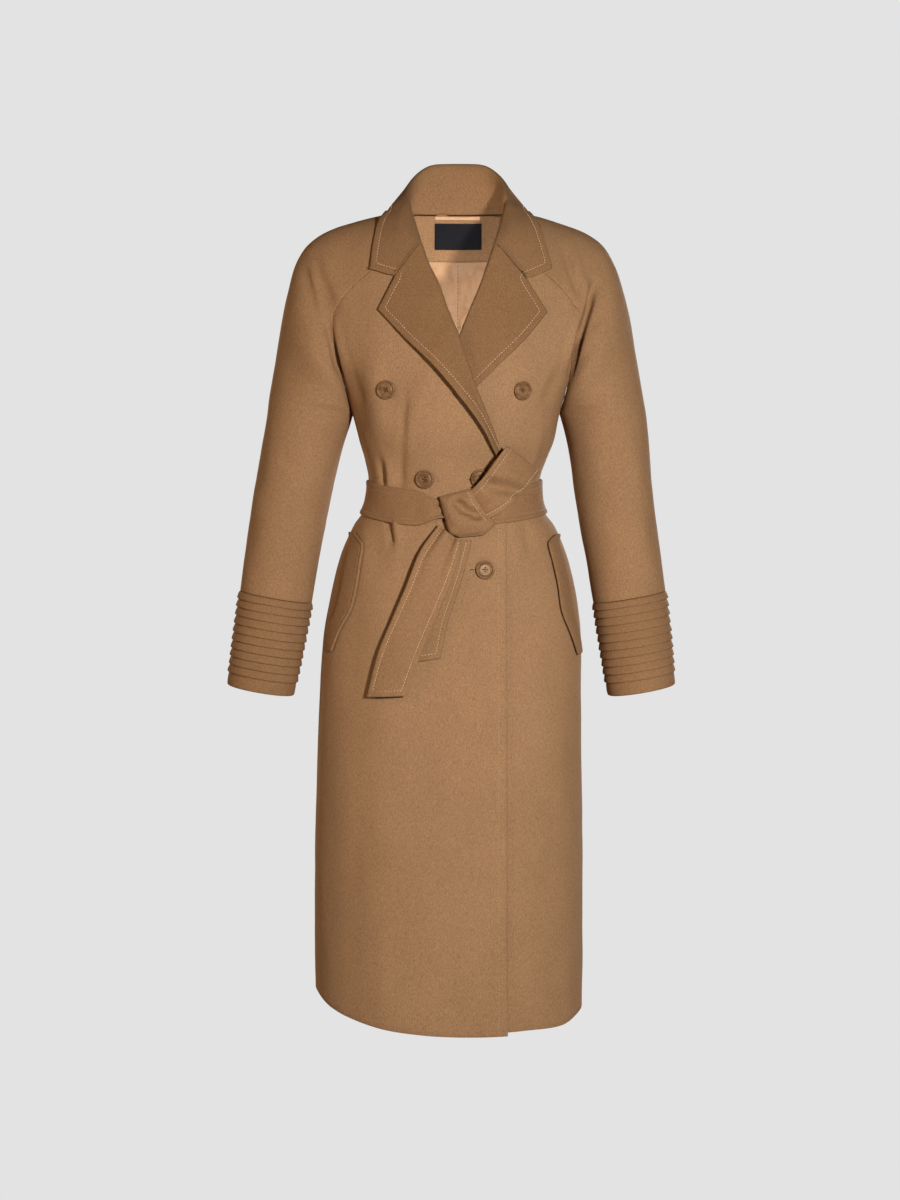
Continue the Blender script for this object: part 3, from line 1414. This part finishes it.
def floor_paper():
    """Pale paper: the camera sees its tone almost evenly, as if it had its own light."""
    m = Nodes("floor_paper")
    grain = m.noise(60, (1, 1, 1), 3.0, 0.55)
    m.join(m.ramp(grain, ((0.3, grey(0.52)), (0.7, grey(0.56)))), m.shader, "Base Color")
    glow = m.node("ShaderNodeEmission")
    glow.inputs["Strength"].default_value = BACKDROP
    m.join(m.ramp(grain, ((0.3, grey(0.97)), (0.7, grey(1.0)))), glow, "Color")
    seen, mix = m.node("ShaderNodeLightPath"), m.node("ShaderNodeMixShader")
    part = m.node("ShaderNodeMath", operation="MULTIPLY")
    part.inputs[1].default_value = 0.94
    m.join(seen.outputs["Is Camera Ray"], part, 0)
    m.join(part.outputs[0], mix, 0)
    m.join(m.shader.outputs[0], mix, 1)
    m.join(glow.outputs[0], mix, 2)
    m.join(mix.outputs[0], m.tree.nodes["Material Output"], "Surface")
    return m.finish(Roughness=0.8, Specular_IOR_Level=0.2)


# ---------------------------------------------------------------- pieces

def add_mesh(name, points, faces, finish):
    mesh = bpy.data.meshes.new(name)
    mesh.from_pydata([tuple(p * MM) for p in points], [], faces)
    mesh.materials.append(finish)
    mesh.shade_smooth()
    piece = bpy.data.objects.new(name, mesh)
    bpy.context.scene.collection.objects.link(piece)
    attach(piece, "root")
    return piece


def sheet_area(sheet):
    """Area of a sheet in square metres."""
    return sum(sheet.face_normal(face).length / 2 for face in sheet.faces) * MM * MM


def add_cloth(name, sheet, wall, finish):
    piece = add_mesh("cloth_" + name, *wall, finish)
    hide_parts(name)
    wide, long = CUTS[name]
    area = min(sheet_area(sheet), wide * long)
    return piece


def add_threads(name, threads, finish):
    piece = add_mesh("stitches_" + name, threads.points, threads.faces, finish)
    return piece


# each piece's cut: width and length in metres, before it was sewn
CUTS = {
    "back": (0.56, 1.10), "front_right": (0.37, 1.08), "front_left": (0.35, 1.10),
    "sleeve_right": (0.40, 0.60), "sleeve_left": (0.40, 0.60), "cuff_right": (0.31, 0.13),
    "cuff_left": (0.31, 0.13), "collar": (0.60, 0.14), "lapel_right": (0.12, 0.35),
    "lapel_left": (0.12, 0.31), "back_neck_facing": (0.14, 0.065), "lining_back": (0.21, 0.195),
    "label_patch": (0.068, 0.037), "hanger_loop": (0.066, 0.010), "belt_band": (0.048, 0.72),
    "belt_loop": (0.050, 0.20), "belt_tail_front": (0.055, 0.24), "belt_tail_back": (0.047, 0.16),
    "pocket_welt_right": (0.046, 0.17), "pocket_welt_left": (0.046, 0.17),
}


def relax(sheet, rounds=16, amount=0.5):
    """Smooth a sheet inside its border, so that what was pushed clear bends softly."""
    wide = sheet.width
    high = len(sheet.points) // wide
    points = np.array(sheet.points).reshape(high, wide, 3)
    for _ in range(rounds):
        middle = (points[:-2, 1:-1] + points[2:, 1:-1] + points[1:-1, :-2] + points[1:-1, 2:]) / 4
        points[1:-1, 1:-1] += (middle - points[1:-1, 1:-1]) * amount
    sheet.points = [Vector(p) for p in points.reshape(-1, 3)]
    sheet.normals = sheet.vertex_normals()


def build_body(body, wools, thread):
    coat = wools["body"]
    add_cloth("back", body.back, body.back.wall(0.0, CLOTH), coat)
    for side in SIDES:
        front = body.fronts[side]
        last = FRONT_EDGE_START[side]
        distance = edge_distance(front, lambda at: at[1] == 0 and at[0] >= last)
        outs = [turned_edge(d, FRONT_STITCH, 0.35) for d in distance]
        seam = Threads()
        seam.sew(front, distance, FRONT_STITCH, 0.0)
        stitches = add_threads("front_" + side, seam, thread)
        turned = add_mesh("seam_front_" + side, *seam_allowance(front), coat)
        add_cloth("front_" + side, front, front.wall(outs, CLOTH), coat)
        sleeve = body.sleeves[side]
        add_cloth("sleeve_" + side, sleeve, sleeve.wall(0.0, CLOTH), wools["sleeve"])
        rows = [placed(side, arm_row(step)) for step in np.linspace(CUFF_STEP, ARM_END, 9)]
        plain = Sheet(rows, closed_from=0, flip=side == "right")
        add_cloth("cuff_" + side, plain, cuff_wall(side), wools["cuff"])


def seam_allowance(sheet):
    """Strip of cloth turned in behind the seam at the sheet's last column, inside both walls."""
    rows = []
    for v in range(sheet.width - 1, len(sheet.points), sheet.width):
        across = (sheet.points[v] - sheet.points[v - 1]).normalized()
        middle = sheet.points[v] - sheet.normals[v] * CLOTH * 0.45
        rows.append([middle + across * reach for reach in (-ALLOWANCE, 0, ALLOWANCE)])
    return Sheet(rows).wall(0.0, ALLOWANCE_WALL)


ALLOWANCE, ALLOWANCE_WALL = 4.0, 0.4
# first row of each front's stitched edge, and the stitches' distance from it
FRONT_EDGE_START = {"right": 50, "left": 44}
FRONT_STITCH = 12.5
LAPEL_STITCH = 9.5
COLLAR_STITCH = 9.5
BELT_STITCH = 7.5


def add_sewn(name, sheet, distance, inset, half, coat, thread):
    """Cloth with a line of stitches along its turned edge."""
    seam = Threads()
    seam.sew(sheet, distance, inset, half)
    stitches = add_threads(name, seam, thread)
    outs = [half + turned_edge(d, inset) for d in distance]
    add_cloth(name, sheet, sheet.wall(outs, half), coat)


def build_collar(body, wools, thread):
    collar = collar_sheet(body)
    relax(collar)
    lapels = {side: lapel_sheet(body, side) for side in SIDES}
    share_normals([collar, *lapels.values()])
    half = CLOTH / 2
    sheets = {"collar": collar, "lapel_right": lapels["right"], "lapel_left": lapels["left"]}
    for name, sheet in sheets.items():
        notch = sheet.width - len(ACROSS) + ACROSS.index(NOTCH_SHARE)
        ends = (0, len(sheet.points) // sheet.width - 1) if name == "collar" else (0,)
        distance = edge_distance(sheet, lambda at: at[1] == sheet.width - 1
                                 or at[0] in ends and at[1] >= notch)
        inset = COLLAR_STITCH if name == "collar" else LAPEL_STITCH
        sheet.part_seams(GORGE_GAP / 2)
        coat = wools["collar" if name == "collar" else "turned"]
        add_sewn(name, sheet, distance, inset, half, coat, thread)


# fan of folds where a strip leaves the knot: height, how far it reaches along, folds across
FANS = {"belt_loop": (1.6, 0.1, 1.5), "belt_tail_front": (5.0, 0.2, 2.5),
        "belt_tail_back": (1.5, 0.15, 1.5)}
# hollow and bulge of the loop's outer leaf: path of (x, height), half width, depth
LOOP_CREASES = (
    (((50, -369), (70, -373), (90, -379)), 15, 10.0),
    (((46, -398), (62, -387), (80, -386)), 11, -3.0),
    (((74, -352), (92, -366), (104, -362)), 12, -1.5),
)
# where the band is gathered into the knot: x of start and end, share of its width lost
GATHER = (-52, -14, 0.5)
GATHER_PUFF, GATHER_FOLD = 4.0, 1.6


def smooth_band(band, rounds=60):
    """Even out the belt along its length, so that it bridges the pleats under it."""
    points = np.array(band.points).reshape(-1, band.width, 3)
    for _ in range(rounds):
        points[:, 1:-1] += ((points[:, :-2] + points[:, 2:]) / 2 - points[:, 1:-1]) * 0.5
    band.points = [Vector(p) for p in points.reshape(-1, 3)]


def fold_strip(strip, steps, height, reach, folds):
    """Draw a strip's start into a fan of folds."""
    for v, point in enumerate(strip.points):
        along, share = v // strip.width / steps, v % strip.width / (strip.width - 1)
        wave = math.cos(2 * math.pi * folds * share) * math.sin(math.pi * share) ** 0.5
        strip.points[v] = point + Vector((0, -height * math.exp(-along / reach) * wave, 0))
    strip.normals = strip.vertex_normals()


def build_belt(body, wools, thread, dull):
    coat = wools["belt"]
    half = BELT_CLOTH / 2
    band = belt_sheet(body)
    distance = edge_distance(band, lambda at: at[0] in (0, len(BELT_SHARES) - 1))
    smooth_band(band)
    for v, point in enumerate(band.points):
        share = BELT_SHARES[v // band.width]
        if point.y < 0:
            drawn = soft(GATHER[0], GATHER[1], point.x) * soft(40, 0, point.x)
            puff = GATHER_PUFF * math.exp(-((point.x + 30) / 13) ** 2) * math.cos(math.pi * share)
            fold = GATHER_FOLD * drawn * math.cos(4.4 * math.pi * share + 0.5)
            height = -share * BELT_WIDTH * GATHER[2] * drawn
            band.points[v] = point + Vector((0, -puff - fold, height))
    band.normals = band.vertex_normals()
    add_sewn("belt_band", band, distance, BELT_STITCH, half, coat, dull)
    shares = sorted({*np.linspace(0, 0.3, 16), *np.linspace(0.3, 0.7, 12),
                     *np.linspace(0.7, 1, 16)})
    strips = {"belt_loop": (LOOP_ROWS, 90), "belt_tail_front": (FRONT_TAIL_ROWS, 100),
              "belt_tail_back": (BACK_TAIL_ROWS, 70)}
    for name, (table, steps) in strips.items():
        strip = strip_sheet(body, table, steps, shares)
        fold_strip(strip, steps, *FANS[name])
        last = steps
        if name == "belt_loop":
            last = 0
            outer = strip.width * steps // 2
            for path, reach, depth in LOOP_CREASES:
                away, _, _ = path_places(np.array(strip.points), path)
                for v in range(outer):
                    strip.points[v] += Vector((0, depth * float(hump(away[v], reach)), 0))
            strip.faces = [tuple(reversed(face)) for face in strip.faces]
            strip.normals = strip.vertex_normals()
        distance = edge_distance(strip, lambda at: at[1] in (0, strip.width - 1)
                                 or last and at[0] == last)
        add_sewn(name, strip, distance, BELT_STITCH, half, wools["strip"], thread)
    points, faces = knot_wall(body)
    piece = add_mesh("cloth_belt_knot", points, faces, wools["knot"])
    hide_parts("belt_knot")
    face = Surface(points, faces)
    seam = Threads()
    line = [(x - WRAP_STITCH * 0.82, z - WRAP_STITCH * 0.57) for x, z in WRAP_EDGE]
    seam.run(face, line, STITCH, STITCH_GAP, THREAD, 0.2)
    add_threads("belt_knot", seam, thread)


def build_pockets(body, coat):
    half = CLOTH / 2
    for side in SIDES:
        name = "pocket_welt_" + side
        sheet = welt_sheet(body, side)
        distance = edge_distance(sheet, lambda at: at[1] == 0)
        outs = [half + turned_edge(d, 5.0, 0.7) for d in distance]
        add_cloth(name, sheet, sheet.wall(outs, half), coat)


def build_inside(body, coat, linings, label, dark):
    lining, loop = linings
    half = FACING_CLOTH / 2
    depth = CLOTH + INSIDE_GAP + half
    facing = inside_sheet(body, *FACING_SPAN, depth, 40, 20)
    facing.part_seams()
    add_cloth("back_neck_facing", facing, facing.wall(half, half, 0.4), coat)
    cloth = inside_sheet(body, *LINING_SPAN, depth, 120, 110)
    cloth.part_seams()
    for v, (place, normal) in enumerate(zip(cloth.points, cloth.normals)):
        beside = 1.2 * soft(0, 5, abs(place.x - CENTRE_SEAM)) + 0.3
        wave = noise.noise(Vector((place.x / 16, 0, place.z / 30))) + 0.6 * noise.noise(place / 8)
        cloth.points[v] = place - normal * (beside + 1.8 * beside * wave) * soft(-58, -70, place.z)
    cloth.normals = cloth.vertex_normals()
    seam = Threads()
    face = Surface.of(cloth)
    line = [(CENTRE_SEAM, height) for height in (-60, -150, -240)]
    seam.run(face, line, 5.0, 0.3, 0.6, 0.3)
    stitches = add_threads("lining_back", seam, dark)
    add_cloth("lining_back", cloth, cloth.wall(half, half, 0.4), lining)
    depth += half + 0.5 + LABEL_CLOTH / 2
    under = LABEL_CLOTH / 2
    patch = inside_sheet(body, *LABEL_SPAN, depth, 24, 12)
    add_cloth("label_patch", patch, patch.wall(under, under, 0.3), label)
    hanger = inside_sheet(body, *HANGER_SPAN, depth, 30, 8)
    add_cloth("hanger_loop", hanger, hanger.wall(LABEL_CLOTH, under, 0.8), loop)


CENTRE_SEAM = 7
# pieces inside the neck: left and right x, top and bottom height
FACING_SPAN = (-58, 72, 7, -56)
LINING_SPAN = (-96, 104, -56, -250)
LABEL_SPAN = (-26, 41, -5, -40)
HANGER_SPAN = (-26, 39, 5, -1)

# radius and height of the button's turned outline, from the middle of the back to that of the face
BUTTON_FINE = ((0, 0), (9.6, 0), (11.2, 0.25), (12.2, 0.8), (12.6, 1.6), (12.6, 2.5), (12.3, 3.3),
               (11.6, 3.75), (10.8, 3.8), (10.2, 3.4), (9.7, 2.2), (9.3, 1.7), (8.8, 1.65),
               (8.2, 2.1), (7.4, 2.5), (5.6, 2.3), (0, 2.1))
HOLE_AWAY, HOLE_RADIUS = 2.5, 1.15


def build_buttons(body, horn, yarn):
    disc, pins = turned_disc(), hole_pins()
    bpy.context.scene.collection.objects.link(disc)
    bpy.context.scene.collection.objects.link(pins)
    cut = disc.modifiers.new("holes", "BOOLEAN")
    cut.operation = "DIFFERENCE"
    cut.solver = "EXACT"
    cut.object = pins
    depsgraph = bpy.context.evaluated_depsgraph_get()
    shape = bpy.data.meshes.new_from_object(disc.evaluated_get(depsgraph))
    bpy.data.objects.remove(disc)
    bpy.data.objects.remove(pins)
    shape.materials.clear()
    shape.materials.append(horn)
    shape.shade_smooth()
    shape.set_sharp_from_angle(angle=math.radians(50))
    for name, (x, height, side) in BUTTONS.items():
        reach = BUTTON_RADIUS - 1
        across = body.depth(side, x + reach, height) - body.depth(side, x - reach, height)
        down = body.depth(side, x, height + reach) - body.depth(side, x, height - reach)
        normal = Vector((across, -2 * reach, down)).normalized()
        middle = Vector((x, body.depth(side, x, height), height))
        turn = normal.to_track_quat("Z", "Y").to_matrix().to_4x4()
        proud = 0.0
        for corner in range(24):
            a = 2 * math.pi * corner / 24
            rim = middle + turn @ Vector((reach * math.cos(a), reach * math.sin(a), 0))
            cloth = Vector((rim.x, body.depth(side, rim.x, rim.z), rim.z))
            proud = max(proud, (cloth - rim).dot(normal))
        seat = Matrix.Translation((middle + normal * (BUTTON_SEAT + proud)) * MM) @ turn
        mesh = shape.copy()
        mesh.transform(seat @ Matrix.Rotation(BUTTON_TURNS[name], 4, "Z"))
        piece = bpy.data.objects.new("horn_" + name, mesh)
        bpy.context.scene.collection.objects.link(piece)
        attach(piece, "root")
        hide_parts(name)
        cross = Threads()
        for angle in (0.25 * math.pi, 0.75 * math.pi):
            way = Matrix.Rotation(BUTTON_TURNS[name] + angle, 3, "Z") @ Vector((HOLE_AWAY, 0, 0))
            ends = [np.array(seat.to_3x3() @ (way * s) + seat.translation / MM
                             + normal * 2.5) for s in (-1, 1)]
            cross.bar(ends[0], ends[1], np.array(normal), 0.42)
        add_threads(name, cross, yarn)


BUTTON_TURNS = {
    "button_upper_right": 0.2, "button_upper_left": 0.9, "button_waist_right": 0.5,
    "button_waist_left": 1.2, "button_lower_left": 0.7, "button_lower_right": 0.1,
}


# middle of the eye's left end and its right end: x, height
BUTTONHOLES = ((19, 42, -361.5), (22, 46, -480.5))


def build_buttonholes(body, thread, dark):
    """Worked slits in the front that lies on top, partly under their buttons."""
    face = body.ahead["right"]
    edging, slits = Threads(), Threads()
    for left, right, height in BUTTONHOLES:
        slits.run(face, ((left, height), (right, height)), 3.0, 0.0, 0.6, 0.3)
        for x in np.arange(left, right, 0.8):
            for side in (-1, 1):
                ends = []
                for away in (0.6, 1.7):
                    level = height + side * away
                    ends.append(np.array([x, face.depth(x, level) - 0.15, level]))
                edging.bar(ends[0], ends[1], np.array([0.0, -1.0, 0.0]), 0.32)
    add_threads("buttonholes", edging, thread)
    add_threads("buttonhole_slits", slits, dark)


def turned_disc():
    made = bmesh.new()
    corners = [made.verts.new((r * MM, 0, z * MM)) for r, z in BUTTON_FINE]
    edges = [made.edges.new(pair) for pair in zip(corners, corners[1:])]
    bmesh.ops.spin(made, geom=corners + edges, axis=(0, 0, 1), cent=(0, 0, 0), steps=64,
                   angle=2 * math.pi)
    bmesh.ops.remove_doubles(made, verts=made.verts[:], dist=1e-6)
    bmesh.ops.recalc_face_normals(made, faces=made.faces[:])
    return object_from(made, "disc")


def hole_pins():
    made = bmesh.new()
    for quarter in range(4):
        a = math.radians(45 + 90 * quarter)
        away = HOLE_AWAY * MM
        place = Matrix.Translation((away * math.cos(a), away * math.sin(a), 0.002))
        bmesh.ops.create_cone(made, cap_ends=True, segments=20, radius1=HOLE_RADIUS * MM,
                              radius2=HOLE_RADIUS * MM, depth=0.008, matrix=place)
    return object_from(made, "pins")


def object_from(made, name):
    mesh = bpy.data.meshes.new(name)
    made.to_mesh(mesh)
    made.free()
    return bpy.data.objects.new(name, mesh)


# ---------------------------------------------------------------- stage

def build_floor(paper):
    """Pale floor under the coat."""
    points = [(x, y, FLOOR) for x, y in ((-9, -9), (9, -9), (9, 0.6), (-9, 0.6))]
    mesh = bpy.data.meshes.new("floor")
    mesh.from_pydata(points, [], [(0, 1, 2, 3)])
    mesh.materials.append(paper)
    floor = bpy.data.objects.new("floor", mesh)
    bpy.context.scene.collection.objects.link(floor)


FLOOR = -1.62
AMBIENT, BACKDROP = 0.03, 0.768
WHITE, WARM, AMBER = (1.0, 1.0, 1.0), (1.0, 0.76, 0.52), (1.0, 0.52, 0.22)
# place, aim, size, power and colour of each light; the last two light the inside of the neck
LIGHTS = {
    "key": ((0.64, -2.01, -0.12), (0.0, 0.0, -0.45), 0.14, 47, WHITE),
    "side": ((-1.85, -1.05, 0.15), (0.0, 0.0, -0.45), 0.6, 12, WARM),
    "back": ((1.15, 2.1, 0.0), (0.0, 0.0, -0.5), 1.0, 46, WHITE),
    "back_side": ((-1.5, 2.1, -0.2), (0.0, 0.0, -0.5), 1.2, 28, WARM),
    "neck": ((0.03, -0.03, 0.0), (0.01, 0.1, -0.01), 0.07, 0.04, WHITE),
    "lining": ((0.03, -0.05, -0.16), (0.01, 0.1, -0.17), 0.07, 0.30, WHITE),
}
FOCAL_PIXELS, PITCH_PIXELS, PICTURE_HEIGHT = 2029, 130, 1200


def build_world():
    """Soft warm light all round, in front of a plain pale backdrop."""
    world = bpy.data.worlds.new("studio")
    world.use_nodes = True
    tree = world.node_tree
    tree.nodes.clear()
    seen = tree.nodes.new("ShaderNodeLightPath")
    out = tree.nodes.new("ShaderNodeOutputWorld")
    mix = tree.nodes.new("ShaderNodeMixShader")
    tree.links.new(seen.outputs["Is Camera Ray"], mix.inputs[0])
    for slot, colour, strength in ((1, (*AMBER, 1), AMBIENT), (2, (1, 1, 1, 1), BACKDROP)):
        sky = tree.nodes.new("ShaderNodeBackground")
        sky.inputs["Color"].default_value = colour
        sky.inputs["Strength"].default_value = strength
        tree.links.new(sky.outputs[0], mix.inputs[slot])
    tree.links.new(mix.outputs[0], out.inputs[0])
    bpy.context.scene.world = world
    bpy.context.scene.view_settings.view_transform = "Standard"


def build_lights():
    for name, (place, aim, size, power, colour) in LIGHTS.items():
        lamp = bpy.data.lights.new(name, "AREA")
        lamp.energy, lamp.size, lamp.color = power, size, colour
        light = bpy.data.objects.new(name, lamp)
        light.location = place
        light.rotation_euler = (Vector(aim) - Vector(place)).to_track_quat("-Z", "Y").to_euler()
        light.visible_camera = False
        bpy.context.scene.collection.objects.link(light)


def build_camera():
    lens = bpy.data.cameras.new("camera")
    lens.sensor_fit = "VERTICAL"
    lens.sensor_height = 36
    lens.lens = 36 * FOCAL_PIXELS / PICTURE_HEIGHT
    camera = bpy.data.objects.new("camera", lens)
    camera.location = (-0.0041, -2.8, -0.349)
    camera.rotation_euler = (math.pi / 2 - math.atan(PITCH_PIXELS / FOCAL_PIXELS), 0, 0)
    bpy.context.scene.collection.objects.link(camera)
    bpy.context.scene.camera = camera


def build():
    build_camera()
    wools = {name: wool(name, shade) for name, shade in SHADES.items()}
    thread = thread_yarn("stitch_yarn", (0.55, 0.36, 0.20, 1), (0.78, 0.55, 0.34, 1))
    dull = thread_yarn("stitch_yarn_dull", (0.32, 0.19, 0.095, 1), (0.52, 0.34, 0.18, 1))
    faint = thread_yarn("stitch_yarn_faint", (0.24, 0.132, 0.06, 1), (0.38, 0.225, 0.115, 1))
    dark = thread_yarn("button_yarn", (0.045, 0.020, 0.008, 1), (0.09, 0.042, 0.018, 1))
    body = Body()
    build_body(body, wools, dull)
    build_collar(body, wools, thread)
    linings = lining_cloth("lining_twill", 1.0), lining_cloth("hanger_twill", 1.35)
    build_inside(body, wools["inside"], linings, label_cloth(), dark)
    build_belt(body, wools, thread, faint)
    build_pockets(body, wools["welt"])
    build_buttons(body, horn_disc(), dark)
    build_buttonholes(body, dull, dark)
    build_floor(floor_paper())
    build_world()
    build_lights()


build()
